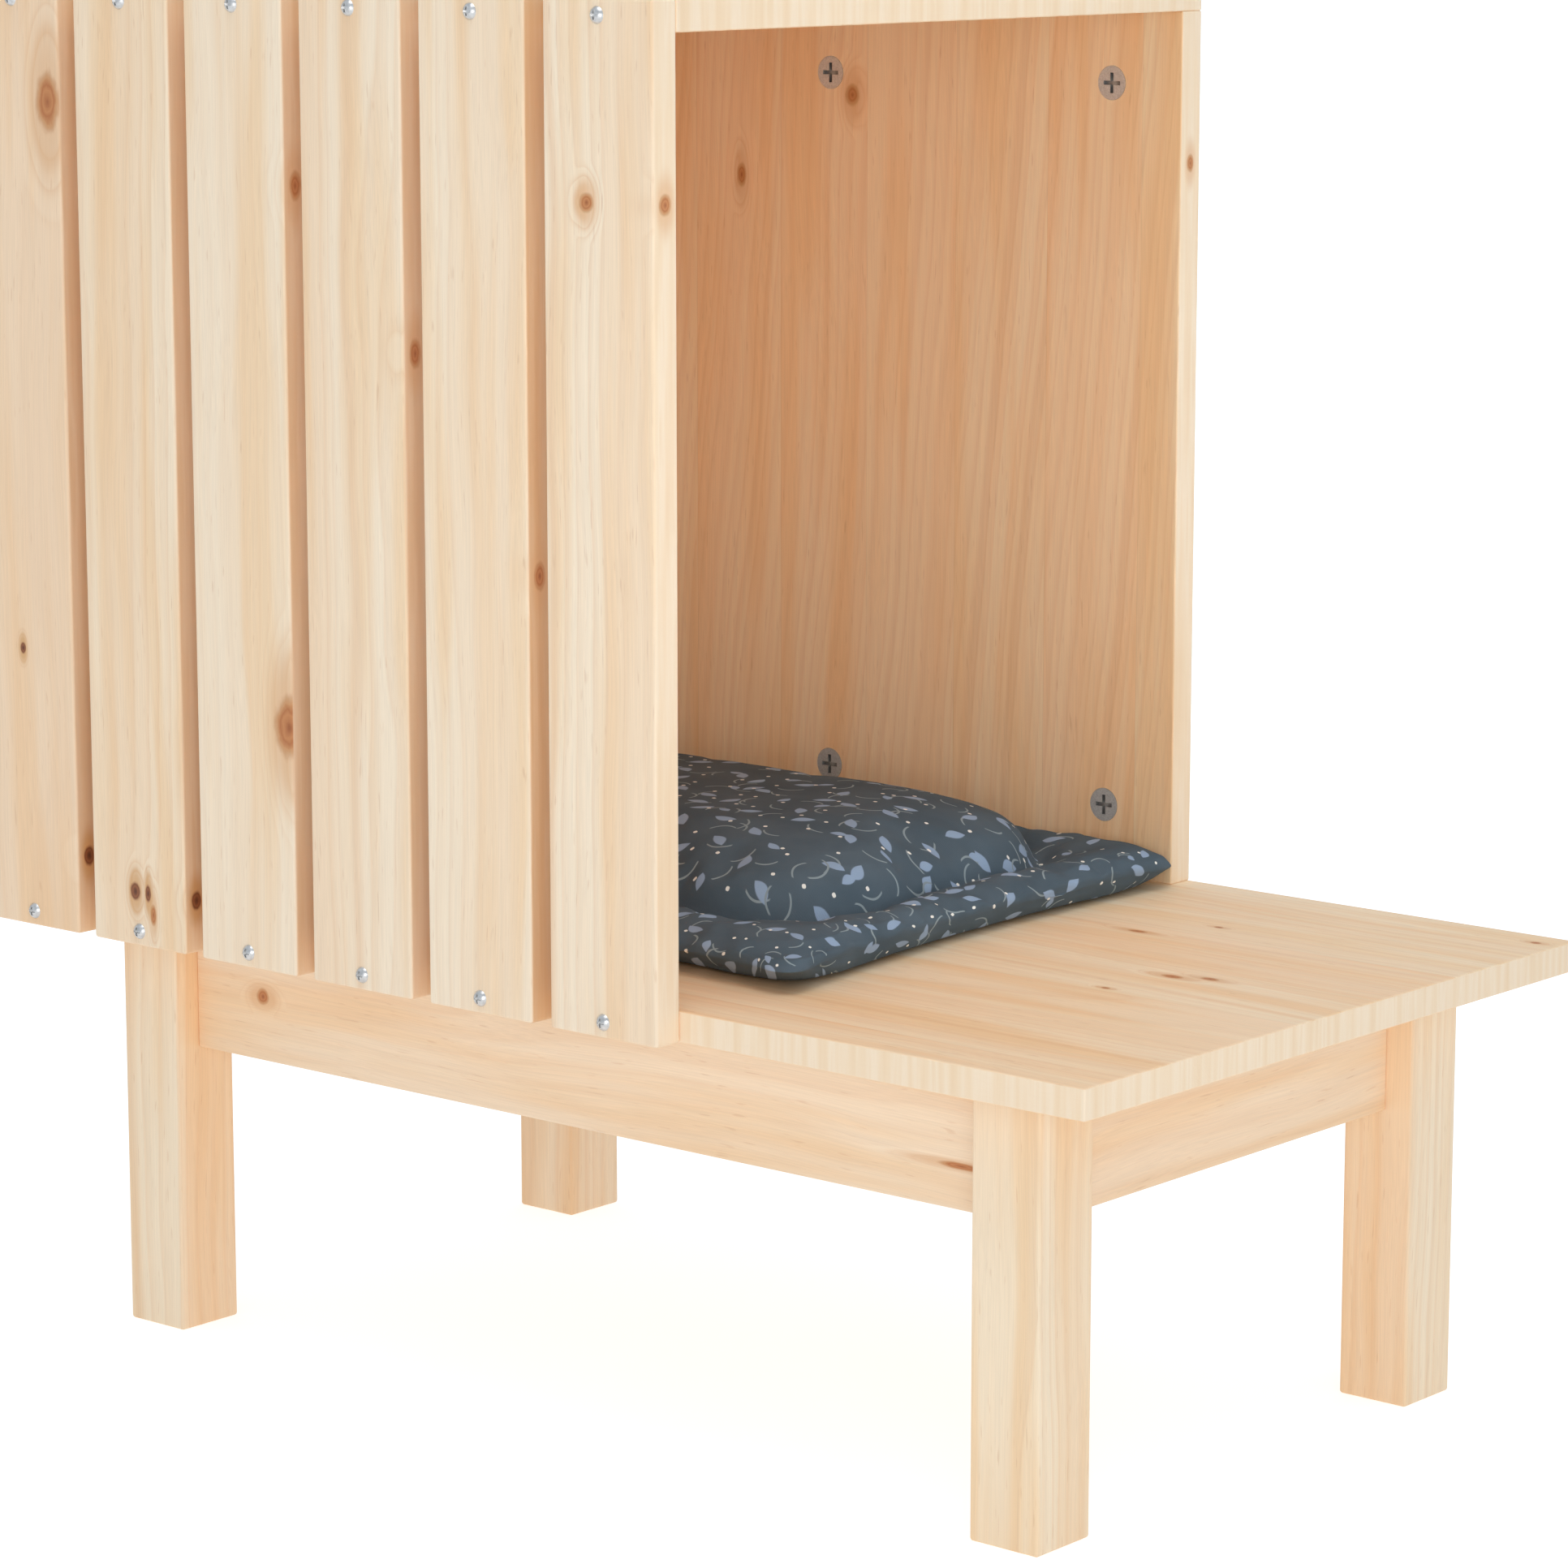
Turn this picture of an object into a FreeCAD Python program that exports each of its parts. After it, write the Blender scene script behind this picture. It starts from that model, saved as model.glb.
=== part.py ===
"""Wooden cat house: a slatted pine cabin on a low four-legged frame, with a loose cushion.

Millimetres, +Z up, origin at the middle of the footprint on the floor.
+X points to the open platform, -Y to the slatted side and +Y to the closed side.
"""
import FreeCAD, Part
import math
import os

V = FreeCAD.Vector
X_AXIS = V(1, 0, 0)
Y_AXIS = V(0, 1, 0)
Z_AXIS = V(0, 0, 1)

# Boards and panels
BOARD_LENGTH = 600.0     # base board, front to back
BOARD_WIDTH = 346.0      # base and roof boards, without the slats
BOARD_T = 13.0
PLATFORM = 202.0         # stretch of the base board in front of the cabin
CABIN_HEIGHT = 387.0     # from the base board up to the roof board
PANEL_T = 14.0           # side and rear panels
BOARD_EASE = 0.8         # rounding of the sawn edges

# Slats
SLAT_COUNT = 6
SLAT_T = 14.0
SLAT_GAP = 10.0
SLAT_EASE = 1.4

# Legs and aprons
LEG = 34.0               # side of the square leg
LEG_HEIGHT = 187.0
LEG_INSET_X = 41.0       # from the base board's ends
LEG_INSET_Y = 27.0       # from the base board's long edges
LEG_EASE = 1.4
APRON_H = 58.0
APRON_SETBACK = 13.0     # from the legs' outer faces
APRON_LEDGE = 3.0        # how far the legs stand in past the aprons

# Fits
FIT = 0.1                # round a pin, screw or cam in its hole
END_GAP = 0.4            # left past the end of a pin in a blind hole
BOARD_SKIN = 4.0         # wood left under a blind hole in a board's face

# Slat screws
SCREW_D = 3.5
SCREW_BITE = 20.0        # into the edge of a board
HEAD_D = 7.0
HEAD_H = 2.2
RECESS_W = 1.0
RECESS_SPAN = 3.8
RECESS_DEPTH = 1.3
POINT = 4.0              # length of a screw's point

# Screws that hold the base board down
GRIP = 28.0              # wood of the apron under the base board that they clamp
HEAD_ROOM = 1.0          # round the head in its counterbore
LONG_APRON_SCREWS = 3
SHORT_APRON_SCREWS = 2

# Cam locks
CAM_D = 15.0
CAM_SKIN = 3.0           # panel left behind a cam
CAM_EDGE = 32.0          # cam centre from the panel's edge
CAM_INSET = 38.0         # end cams from the panel's ends
CAM_HOLLOW_D = 10.0
CAM_SLOT_TURN = 150.0    # degrees of the slot that the bolt's neck runs in
CAM_CROSS_SPAN = 9.0
CAM_CROSS_W = 1.8
CAM_CROSS_DEPTH = 2.0
BOLT_D = 6.0
BOLT_THREAD_D = 5.0
BOLT_NECK_D = 3.4
BOLT_HEAD_D = 5.2
BOLT_HEAD_H = 2.6
BOLT_ROOM = 0.3          # round the bolt's head and neck in the cam

# Dowels
PANEL_DOWEL_D = 6.0
PANEL_DOWEL_REACH = 16.0  # into the panel
LEG_DOWEL_D = 8.0
LEG_DOWEL_REACH = 16.0   # into the leg, and as far into the apron
DOWEL_CHAMFER = 0.8
DOWEL_ROWS = 4           # rows up an apron, taken in turn by long and short aprons

# Cushion
CUSHION_OVERHANG = 20.0  # past the cabin's open front, beside the slats
CUSHION_REAR_GAP = 24.0
CUSHION_SLAT_GAP = 46.0
CUSHION_PANEL_GAP = 1.5
CUSHION_LIFT = 0.3
CUSHION_SKEW = 14.0      # how much further back it lies along the panel than beside the slats
CUSHION_CORNER_R = 24.0  # corner of the side seam
CUSHION_CHANNEL_R = 66.0  # corner of the channel
CUSHION_DRAW = 6.0       # how far the sides pull in between the corners
CUSHION_SEAM_H = 9.0     # side seam above the underside
CUSHION_TUCK = 9.0       # underside in from the seam
BORDER_W = 36.0          # padded border, from the side seam to the sewn channel
BORDER_H = 20.0
FIELD_SHIFT = 20.0       # middle field, off the cushion's middle towards the panel
CHANNEL_H = 10.0         # bottom of the sewn channel
CROWN_H = 38.0
CROWN_FLAT = 48.0        # half the width of the level top
CROWN_R = 24.0           # corner of the level top
CROWN_FULLNESS = 2.5     # 2 is a plain round edge, more is a steeper one with a flatter top
BORDER_STEPS = 6
CROWN_STEPS = 6

# Levels and planes that follow from the sizes above
DECK_LOW = LEG_HEIGHT
DECK_TOP = DECK_LOW + BOARD_T
ROOF_LOW = DECK_TOP + CABIN_HEIGHT
ROOF_TOP = ROOF_LOW + BOARD_T

X_FRONT = BOARD_LENGTH / 2
X_REAR = -X_FRONT
X_OPEN = X_FRONT - PLATFORM
CABIN_LENGTH = X_OPEN - X_REAR
X_INNER = X_REAR + PANEL_T

Y_FAR = (BOARD_WIDTH + SLAT_T + HEAD_H) / 2
Y_NEAR = Y_FAR - BOARD_WIDTH
Y_SLAT = Y_NEAR - SLAT_T
Y_INNER = Y_FAR - PANEL_T

SLAT_W = (CABIN_LENGTH - (SLAT_COUNT - 1) * SLAT_GAP) / SLAT_COUNT
SLAT_PITCH = SLAT_W + SLAT_GAP
APRON_T = LEG - APRON_SETBACK - APRON_LEDGE
BOARD_BITE = BOARD_T - BOARD_SKIN
CAM_DEPTH = PANEL_T - CAM_SKIN

# Edges of the cushion, and the run of its middle field's rounded edge
CUSHION_X = (X_INNER + CUSHION_REAR_GAP, X_OPEN + CUSHION_OVERHANG)
CUSHION_Y = (Y_NEAR + CUSHION_SLAT_GAP, Y_INNER - CUSHION_PANEL_GAP)
CROWN_SHOULDER = (CUSHION_Y[1] - CUSHION_Y[0]) / 2 - BORDER_W - CROWN_FLAT

# Inner and outer planes of the legs
LEG_X_OUT = X_FRONT - LEG_INSET_X
LEG_X_IN = LEG_X_OUT - LEG
LEG_NEAR_OUT = Y_NEAR + LEG_INSET_Y
LEG_NEAR_IN = LEG_NEAR_OUT + LEG
LEG_FAR_OUT = Y_FAR - LEG_INSET_Y
LEG_FAR_IN = LEG_FAR_OUT - LEG
APRON_LOW = DECK_LOW - APRON_H


def block(x_range, y_range, z_range, ease):
    """A sawn piece of wood between pairs of planes, with its edges eased."""
    x, y, z = [min(pair) for pair in (x_range, y_range, z_range)]
    size = [max(pair) - min(pair) for pair in (x_range, y_range, z_range)]
    box = Part.makeBox(*size, V(x, y, z))
    return box.makeFillet(ease, box.Edges)


def rod(point, direction, radius, length):
    """A plain cylinder from a point along a direction."""
    return Part.makeCylinder(radius, length, point, direction)


def turned(outline):
    """A solid turned about Z from (radius, height) points that start and end on the axis."""
    points = [V(r, 0, z) for r, z in outline]
    profile = Part.Face(Part.makePolygon(points + points[:1]))
    return profile.revolve(V(0, 0, 0), Z_AXIS, 360)


def placed(shape, point, direction):
    """A copy of a shape made about the origin, its +Z turned to a direction and set at a point."""
    copy = shape.copy()
    copy.Placement = FreeCAD.Placement(point, FreeCAD.Rotation(Z_AXIS, direction))
    return copy


def drilled(shape, holes):
    """A shape with a list of hole solids taken out."""
    for hole in holes:
        shape = shape.cut(hole)
    return shape


def group(shapes):
    """Separate solids that share a node."""
    return Part.makeCompound(shapes)


def cross(span, width, depth, top):
    """Two crossed slots that end at a height, cut as a driver recess."""
    bar = Part.makeBox(span, width, depth, V(-span / 2, -width / 2, top - depth))
    other = Part.makeBox(width, span, depth, V(-width / 2, -span / 2, top - depth))
    return bar.fuse(other)


def round_head_screw(shank_length):
    """A domed screw about Z: the head's flat underside at zero, the shank below it."""
    radius = HEAD_D / 2
    sphere = (radius ** 2 + HEAD_H ** 2) / (2 * HEAD_H)
    half_turn = math.asin(radius / sphere) / 2
    shoulder = V(sphere * math.sin(half_turn), 0, HEAD_H - sphere * (1 - math.cos(half_turn)))
    dome = Part.Arc(V(radius, 0, 0), shoulder, V(0, 0, HEAD_H))
    shank = [
        V(0, 0, HEAD_H),
        V(0, 0, -shank_length),
        V(SCREW_D / 2, 0, POINT - shank_length),
        V(SCREW_D / 2, 0, 0),
        V(radius, 0, 0),
    ]
    outline = Part.Wire([dome.toShape()] + Part.makePolygon(shank).Edges)
    body = Part.Face(outline).revolve(V(0, 0, 0), Z_AXIS, 360)
    return body.cut(cross(RECESS_SPAN, RECESS_W, RECESS_DEPTH, HEAD_H))


def dowel(diameter, length):
    """A chamfered wooden pin up Z from zero."""
    r = diameter / 2
    small = r - DOWEL_CHAMFER
    return turned([(0, 0), (small, 0), (r, DOWEL_CHAMFER), (r, length - DOWEL_CHAMFER),
                   (small, length), (0, length)])


def cam_bolt():
    """A cam lock's bolt up Z: its thread below zero, its head in the middle of the cam."""
    neck_low = CAM_EDGE - CAM_D / 2 - FIT
    head_low = CAM_EDGE - BOLT_HEAD_H / 2
    thread, shank, neck, head = [
        d / 2 for d in (BOLT_THREAD_D, BOLT_D, BOLT_NECK_D, BOLT_HEAD_D)
    ]
    return turned([(0, END_GAP - BOARD_BITE), (thread, END_GAP - BOARD_BITE), (thread, 0), (shank, 0),
                   (shank, neck_low), (neck, neck_low), (neck, head_low), (head, head_low),
                   (head, head_low + BOLT_HEAD_H), (0, head_low + BOLT_HEAD_H)])


def cam_nut():
    """A cam about Z, its driven face at zero and its body below, slotted towards +X for the bolt."""
    radius = CAM_D / 2
    height = CAM_DEPTH - FIT
    bolt_level = -PANEL_T / 2
    body = rod(V(0, 0, -height), Z_AXIS, radius, height)
    hollow_half = BOLT_HEAD_D / 2 + BOLT_ROOM
    hollow = rod(V(0, 0, bolt_level - hollow_half), Z_AXIS, CAM_HOLLOW_D / 2, 2 * hollow_half)
    slot_half = BOLT_NECK_D / 2 + BOLT_ROOM
    slot = Part.makeCylinder(CAM_D, 2 * slot_half, V(0, 0, bolt_level - slot_half), Z_AXIS, CAM_SLOT_TURN)
    slot.rotate(V(0, 0, 0), Z_AXIS, -CAM_SLOT_TURN / 2)
    return drilled(body, [hollow, slot, cross(CAM_CROSS_SPAN, CAM_CROSS_W, CAM_CROSS_DEPTH, 0)])


def spread(start, end, inset):
    """Three fastening points along an edge, and the two dowel points between them."""
    first = start + math.copysign(inset, end - start)
    last = end - math.copysign(inset, end - start)
    middle = (start + end) / 2
    return [first, middle, last], [(first + middle) / 2, (middle + last) / 2]


def slat_centres():
    """Middle of each slat along X, from the rear slat to the one beside the opening."""
    return [X_REAR + SLAT_W / 2 + k * SLAT_PITCH for k in range(SLAT_COUNT)]


class PanelJoint:
    """How a panel is held between the boards: cams, bolts and dowels along its top and bottom edges.

    line gives a point on the panel's middle plane at a place along the edge and a height,
    and face is the outward normal of the panel's inner face.
    """

    def __init__(self, line, face, start, end):
        self.face = face
        cams, pins = spread(start, end, CAM_INSET)
        edges = [(DECK_TOP, Z_AXIS), (ROOF_LOW, -Z_AXIS)]
        self.cam_seats = [(line(at, level), inward) for level, inward in edges for at in cams]
        self.pin_seats = [(line(at, level), inward) for level, inward in edges for at in pins]

    def panel_holes(self):
        """Cam pockets, bolt bores and dowel holes in the panel."""
        holes = []
        for seat, inward in self.cam_seats:
            mouth = seat + inward * CAM_EDGE + self.face * (PANEL_T / 2)
            holes.append(rod(mouth, -self.face, CAM_D / 2 + FIT, CAM_DEPTH))
            holes.append(rod(seat, inward, BOLT_D / 2 + FIT, CAM_EDGE))
        for seat, inward in self.pin_seats:
            holes.append(rod(seat, inward, PANEL_DOWEL_D / 2 + FIT, PANEL_DOWEL_REACH + END_GAP))
        return holes

    def board_holes(self, level):
        """Thread holes and dowel holes in the face of the board at a level."""
        threads = [(seat, inward, BOLT_THREAD_D) for seat, inward in self.cam_seats]
        pins = [(seat, inward, PANEL_DOWEL_D) for seat, inward in self.pin_seats]
        return [
            rod(seat, -inward, diameter / 2 + FIT, BOARD_BITE)
            for seat, inward, diameter in threads + pins
            if math.isclose(seat.z, level)
        ]

    def nuts(self):
        """The cams, each slotted towards the panel's edge."""
        shapes = []
        for seat, inward in self.cam_seats:
            turn = FreeCAD.Rotation(-inward, self.face.cross(-inward), self.face, "ZXY")
            nut = cam_nut()
            nut.Placement = FreeCAD.Placement(seat + inward * CAM_EDGE + self.face * (PANEL_T / 2), turn)
            shapes.append(nut)
        return group(shapes)

    def bolts(self):
        """The bolts in the boards that the cams pull on."""
        return group([placed(cam_bolt(), seat, inward) for seat, inward in self.cam_seats])

    def dowels(self):
        """The wooden pins across the joint."""
        board_reach = BOARD_BITE - END_GAP
        pin = dowel(PANEL_DOWEL_D, board_reach + PANEL_DOWEL_REACH)
        return group([placed(pin, seat - inward * board_reach, inward) for seat, inward in self.pin_seats])


SIDE_JOINT = PanelJoint(lambda at, z: V(at, Y_FAR - PANEL_T / 2, z), -Y_AXIS, X_OPEN, X_REAR)
REAR_JOINT = PanelJoint(lambda at, z: V(X_REAR + PANEL_T / 2, at, z), X_AXIS, Y_NEAR, Y_INNER)


def slat_screw_seats(level):
    """Where the slat screws' heads bear, at a height."""
    return [V(x, Y_SLAT, level) for x in slat_centres()]


LOW_SCREWS = slat_screw_seats(DECK_LOW + BOARD_T / 2)
HIGH_SCREWS = slat_screw_seats(ROOF_TOP - BOARD_T / 2)


def slat_screws(seats):
    """One row of slat screws, their heads outwards."""
    screw = round_head_screw(SLAT_T + SCREW_BITE)
    return group([placed(screw, seat, -Y_AXIS) for seat in seats])


def slat_screw_holes(seats):
    """Holes for a row of slat screws, through the slats and into a board's edge."""
    return [rod(seat, Y_AXIS, SCREW_D / 2 + FIT, SLAT_T + SCREW_BITE + END_GAP) for seat in seats]


def slat(index):
    """One upright slat, from the base board's underside to the roof board's top."""
    middle = slat_centres()[index]
    edges = (middle - SLAT_W / 2, middle + SLAT_W / 2)
    wood = block(edges, (Y_SLAT, Y_NEAR), (DECK_LOW, ROOF_TOP), SLAT_EASE)
    return drilled(wood, slat_screw_holes([LOW_SCREWS[index], HIGH_SCREWS[index]]))


class ApronJoint:
    """An apron between two legs: its run along one axis, its faces across it, and its fixings."""

    def __init__(self, along, start, end, outer, inner, rows, screws):
        across = Y_AXIS if along == X_AXIS else X_AXIS
        self.along = along
        self.point = lambda at, z: along * at + across * ((outer + inner) / 2) + Z_AXIS * z
        self.start, self.end = start, end
        self.faces = (outer, inner)
        row_pitch = APRON_H / DOWEL_ROWS
        levels = [DECK_LOW - row_pitch * (row + 0.5) for row in rows]
        ends = [(start, along), (end, -along)]
        self.pin_seats = [(self.point(at, z), inward) for at, inward in ends for z in levels]
        pitch = (end - start) / screws
        self.screw_seats = [self.point(start + pitch * (k + 0.5), DECK_LOW - GRIP) for k in range(screws)]

    def wood(self):
        """The apron board, drilled for its dowels and for the screws into the base board."""
        run = (self.start, self.end)
        sides = (run, self.faces) if self.along == X_AXIS else (self.faces, run)
        board = block(*sides, (APRON_LOW, DECK_LOW), BOARD_EASE)
        return drilled(board, self.pin_holes() + self.screw_holes())

    def pin_holes(self):
        """Dowel holes through the meeting faces, into apron and leg alike."""
        depth = LEG_DOWEL_REACH + END_GAP
        return [rod(seat - inward * depth, inward, LEG_DOWEL_D / 2 + FIT, 2 * depth)
                for seat, inward in self.pin_seats]

    def screw_holes(self):
        """A counterbore up from the apron's lower edge, and the hole on into the base board."""
        holes = []
        for seat in self.screw_seats:
            mouth = V(seat.x, seat.y, APRON_LOW)
            holes.append(rod(mouth, Z_AXIS, (HEAD_D + HEAD_ROOM) / 2, APRON_H - GRIP))
            holes.append(rod(seat, Z_AXIS, SCREW_D / 2 + FIT, GRIP + BOARD_BITE))
        return holes

    def dowels(self):
        """The pins at both ends."""
        pin = dowel(LEG_DOWEL_D, 2 * LEG_DOWEL_REACH)
        return [placed(pin, seat - inward * LEG_DOWEL_REACH, inward) for seat, inward in self.pin_seats]

    def screws(self):
        """The screws into the base board, their heads down."""
        screw = round_head_screw(GRIP + BOARD_BITE - END_GAP)
        return [placed(screw, seat, -Z_AXIS) for seat in self.screw_seats]


def long_apron(outer, inner):
    """An apron along a long side."""
    return ApronJoint(X_AXIS, -LEG_X_IN, LEG_X_IN, outer, inner, range(0, DOWEL_ROWS, 2), LONG_APRON_SCREWS)


def short_apron(outer, inner):
    """An apron across an end."""
    rows = range(1, DOWEL_ROWS, 2)
    return ApronJoint(Y_AXIS, LEG_NEAR_IN, LEG_FAR_IN, outer, inner, rows, SHORT_APRON_SCREWS)


def apron_faces(leg_outer, inward):
    """Outer and inner face of an apron, from its legs' outer face and the way in."""
    outer = leg_outer + inward * APRON_SETBACK
    return outer, outer + inward * APRON_T


APRONS = {
    "apron_near": long_apron(*apron_faces(LEG_NEAR_OUT, 1)),
    "apron_far": long_apron(*apron_faces(LEG_FAR_OUT, -1)),
    "apron_front": short_apron(*apron_faces(LEG_X_OUT, -1)),
    "apron_rear": short_apron(*apron_faces(-LEG_X_OUT, 1)),
}


def leg(x_range, y_range):
    """A square leg, drilled where the dowels of its two aprons enter it."""
    wood = block(x_range, y_range, (0, LEG_HEIGHT), LEG_EASE)
    return drilled(wood, [hole for apron in APRONS.values() for hole in apron.pin_holes()])


def base_board():
    """The base board, drilled for panels, slats and aprons."""
    wood = block((X_REAR, X_FRONT), (Y_NEAR, Y_FAR), (DECK_LOW, DECK_TOP), BOARD_EASE)
    holes = SIDE_JOINT.board_holes(DECK_TOP) + REAR_JOINT.board_holes(DECK_TOP)
    holes += slat_screw_holes(LOW_SCREWS)
    holes += [hole for apron in APRONS.values() for hole in apron.screw_holes()]
    return drilled(wood, holes)


def roof_board():
    """The flat roof over the cabin."""
    wood = block((X_REAR, X_OPEN), (Y_NEAR, Y_FAR), (ROOF_LOW, ROOF_TOP), BOARD_EASE)
    holes = SIDE_JOINT.board_holes(ROOF_LOW) + REAR_JOINT.board_holes(ROOF_LOW)
    return drilled(wood, holes + slat_screw_holes(HIGH_SCREWS))


def side_panel():
    """The closed wall along the far side."""
    wood = block((X_REAR, X_OPEN), (Y_INNER, Y_FAR), (DECK_TOP, ROOF_LOW), BOARD_EASE)
    return drilled(wood, SIDE_JOINT.panel_holes())


def rear_panel():
    """The closed wall across the back, between the slats and the side panel."""
    wood = block((X_REAR, X_INNER), (Y_NEAR, Y_INNER), (DECK_TOP, ROOF_LOW), BOARD_EASE)
    return drilled(wood, REAR_JOINT.panel_holes())


def askew(point):
    """A point of the cushion, moved back by its share of the skew."""
    share = (point.y - CUSHION_Y[0]) / (CUSHION_Y[1] - CUSHION_Y[0])
    return point - X_AXIS * (CUSHION_SKEW * share)


def cushion_ring(inset, height):
    """One closed outline of the cushion: four sides that pull in between four round corners."""
    outward = max(0, 1 - inset / BORDER_W)
    inward = max(0, (inset - BORDER_W) / CROWN_SHOULDER)
    corner = CUSHION_CHANNEL_R + (CUSHION_CORNER_R - CUSHION_CHANNEL_R) * outward
    corner += (CROWN_R - CUSHION_CHANNEL_R) * inward
    bulge = corner * (1 - math.sqrt(0.5))
    draw = CUSHION_DRAW * (1 + outward) / 2
    middle = V(sum(CUSHION_X) / 2, sum(CUSHION_Y) / 2, DECK_TOP + CUSHION_LIFT + height)
    middle += Y_AXIS * (FIELD_SHIFT * (1 - outward))
    half_x = (CUSHION_X[1] - CUSHION_X[0]) / 2 - inset
    half_y = (CUSHION_Y[1] - CUSHION_Y[0]) / 2 - inset
    edges = []
    # Each side has a way out and a way along, and runs into the round corner at its end
    for out, along in ((X_AXIS, Y_AXIS), (Y_AXIS, -X_AXIS), (-X_AXIS, -Y_AXIS), (-Y_AXIS, X_AXIS)):
        reach, run = (half_x, half_y) if out.x else (half_y, half_x)
        start = askew(middle + out * reach - along * (run - corner))
        waist = askew(middle + out * (reach - draw))
        end = askew(middle + out * reach + along * (run - corner))
        turn = askew(middle + out * (reach - bulge) + along * (run - bulge))
        after = askew(middle + out * (reach - corner) + along * run)
        edges += [Part.Arc(start, waist, end).toShape(), Part.Arc(end, turn, after).toShape()]
    return Part.Wire(edges)


def cushion():
    """The cushion: flat underside, side seam, padded border, sewn channel and crowned middle."""
    rings = [(CUSHION_TUCK, 0)]
    for step in range(BORDER_STEPS + 1):
        turn = math.pi * step / BORDER_STEPS
        across = (1 - math.cos(turn)) / 2
        chord = CUSHION_SEAM_H + (CHANNEL_H - CUSHION_SEAM_H) * across
        rise = BORDER_H - (CUSHION_SEAM_H + CHANNEL_H) / 2
        rings.append((BORDER_W * across, chord + rise * math.sin(turn)))
    for step in range(1, CROWN_STEPS + 1):
        turn = math.pi / 2 * step / CROWN_STEPS
        inward = 1 - abs(math.cos(turn)) ** (2 / CROWN_FULLNESS)
        rise = math.sin(turn) ** (2 / CROWN_FULLNESS)
        rings.append((BORDER_W + CROWN_SHOULDER * inward, CHANNEL_H + (CROWN_H - CHANNEL_H) * rise))
    return Part.makeLoft([cushion_ring(inset, height) for inset, height in rings], True, True)


NODES = {
    "base_board": base_board(),
    "roof_board": roof_board(),
    "side_panel": side_panel(),
    "rear_panel": rear_panel(),
    "side_cam_nuts": SIDE_JOINT.nuts(),
    "side_cam_bolts": SIDE_JOINT.bolts(),
    "side_dowels": SIDE_JOINT.dowels(),
    "rear_cam_nuts": REAR_JOINT.nuts(),
    "rear_cam_bolts": REAR_JOINT.bolts(),
    "rear_dowels": REAR_JOINT.dowels(),
    "slat_screws_bottom": slat_screws(LOW_SCREWS),
    "slat_screws_top": slat_screws(HIGH_SCREWS),
    "leg_front_near": leg((LEG_X_IN, LEG_X_OUT), (LEG_NEAR_OUT, LEG_NEAR_IN)),
    "leg_front_far": leg((LEG_X_IN, LEG_X_OUT), (LEG_FAR_IN, LEG_FAR_OUT)),
    "leg_rear_near": leg((-LEG_X_OUT, -LEG_X_IN), (LEG_NEAR_OUT, LEG_NEAR_IN)),
    "leg_rear_far": leg((-LEG_X_OUT, -LEG_X_IN), (LEG_FAR_IN, LEG_FAR_OUT)),
    "leg_dowels": group([pin for apron in APRONS.values() for pin in apron.dowels()]),
    "board_screws": group([screw for apron in APRONS.values() for screw in apron.screws()]),
    "cushion": cushion(),
}
NODES.update({f"slat_{k + 1}": slat(k) for k in range(SLAT_COUNT)})
NODES.update({name: apron.wood() for name, apron in APRONS.items()})

os.makedirs("parts", exist_ok=True)
for name, shape in NODES.items():
    shape.exportStep(f"parts/{name}.step")
    print(name, len(shape.Solids), "solids", round(shape.Volume), "mm3", "valid:", shape.isValid())
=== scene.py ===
"""Looks of the wooden cat house: planed pine, zinc fittings and a quilted cotton cushion.

The object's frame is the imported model's: metres, +Z up, +X to the open platform, -Y to the slats.
Sizes are written in millimetres and turned to metres with MM.
"""
import math
import random
from typing import NamedTuple

import bpy
import numpy as np
from mathutils import Euler, Matrix, Vector


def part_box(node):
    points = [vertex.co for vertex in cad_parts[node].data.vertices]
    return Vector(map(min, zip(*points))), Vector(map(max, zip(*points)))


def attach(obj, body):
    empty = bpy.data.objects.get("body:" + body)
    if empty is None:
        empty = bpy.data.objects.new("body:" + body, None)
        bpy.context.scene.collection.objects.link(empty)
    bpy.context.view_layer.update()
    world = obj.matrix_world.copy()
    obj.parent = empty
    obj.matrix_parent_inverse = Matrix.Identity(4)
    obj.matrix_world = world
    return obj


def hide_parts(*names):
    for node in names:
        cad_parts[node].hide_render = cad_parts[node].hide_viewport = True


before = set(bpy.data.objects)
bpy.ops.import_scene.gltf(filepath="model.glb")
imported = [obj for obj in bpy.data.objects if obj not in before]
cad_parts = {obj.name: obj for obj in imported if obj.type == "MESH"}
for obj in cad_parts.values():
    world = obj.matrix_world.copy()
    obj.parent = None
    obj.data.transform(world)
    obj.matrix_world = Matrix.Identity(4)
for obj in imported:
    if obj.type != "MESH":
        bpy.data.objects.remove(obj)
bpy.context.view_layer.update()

MM = 0.001
TINY = 1e-9              # keeps a division by zero away

# Camera at the photograph's place, its turn and its tilt down in degrees
CAMERA_AT = (1428.9, -1671.3, 660.4)
CAMERA_LENS = 118.4
CAMERA_AZIMUTH = 40.28
CAMERA_PITCH = 10.38

# Axes of the object, by letter
AXES = {"X": Vector((1, 0, 0)), "Y": Vector((0, 1, 0)), "Z": Vector((0, 0, 1))}


def linear(colour):
    """A linear RGBA colour from an sRGB hex value."""
    parts = [int(colour[k:k + 2], 16) / 255 for k in (1, 3, 5)]
    return [c / 12.92 if c <= 0.04045 else ((c + 0.055) / 1.055) ** 2.4 for c in parts] + [1.0]


def connect(tree, node, inputs):
    """Sets a node's inputs, each from a value, a socket, or another node's first live output."""
    for name, value in dict(inputs).items():
        socket = node.inputs[name] if isinstance(name, int) else next(
            s for s in node.inputs if s.name == name and s.enabled)
        if isinstance(value, bpy.types.Node):
            value = next(s for s in value.outputs if s.enabled)
        if isinstance(value, bpy.types.NodeSocket):
            tree.links.new(value, socket)
        else:
            socket.default_value = value


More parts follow.
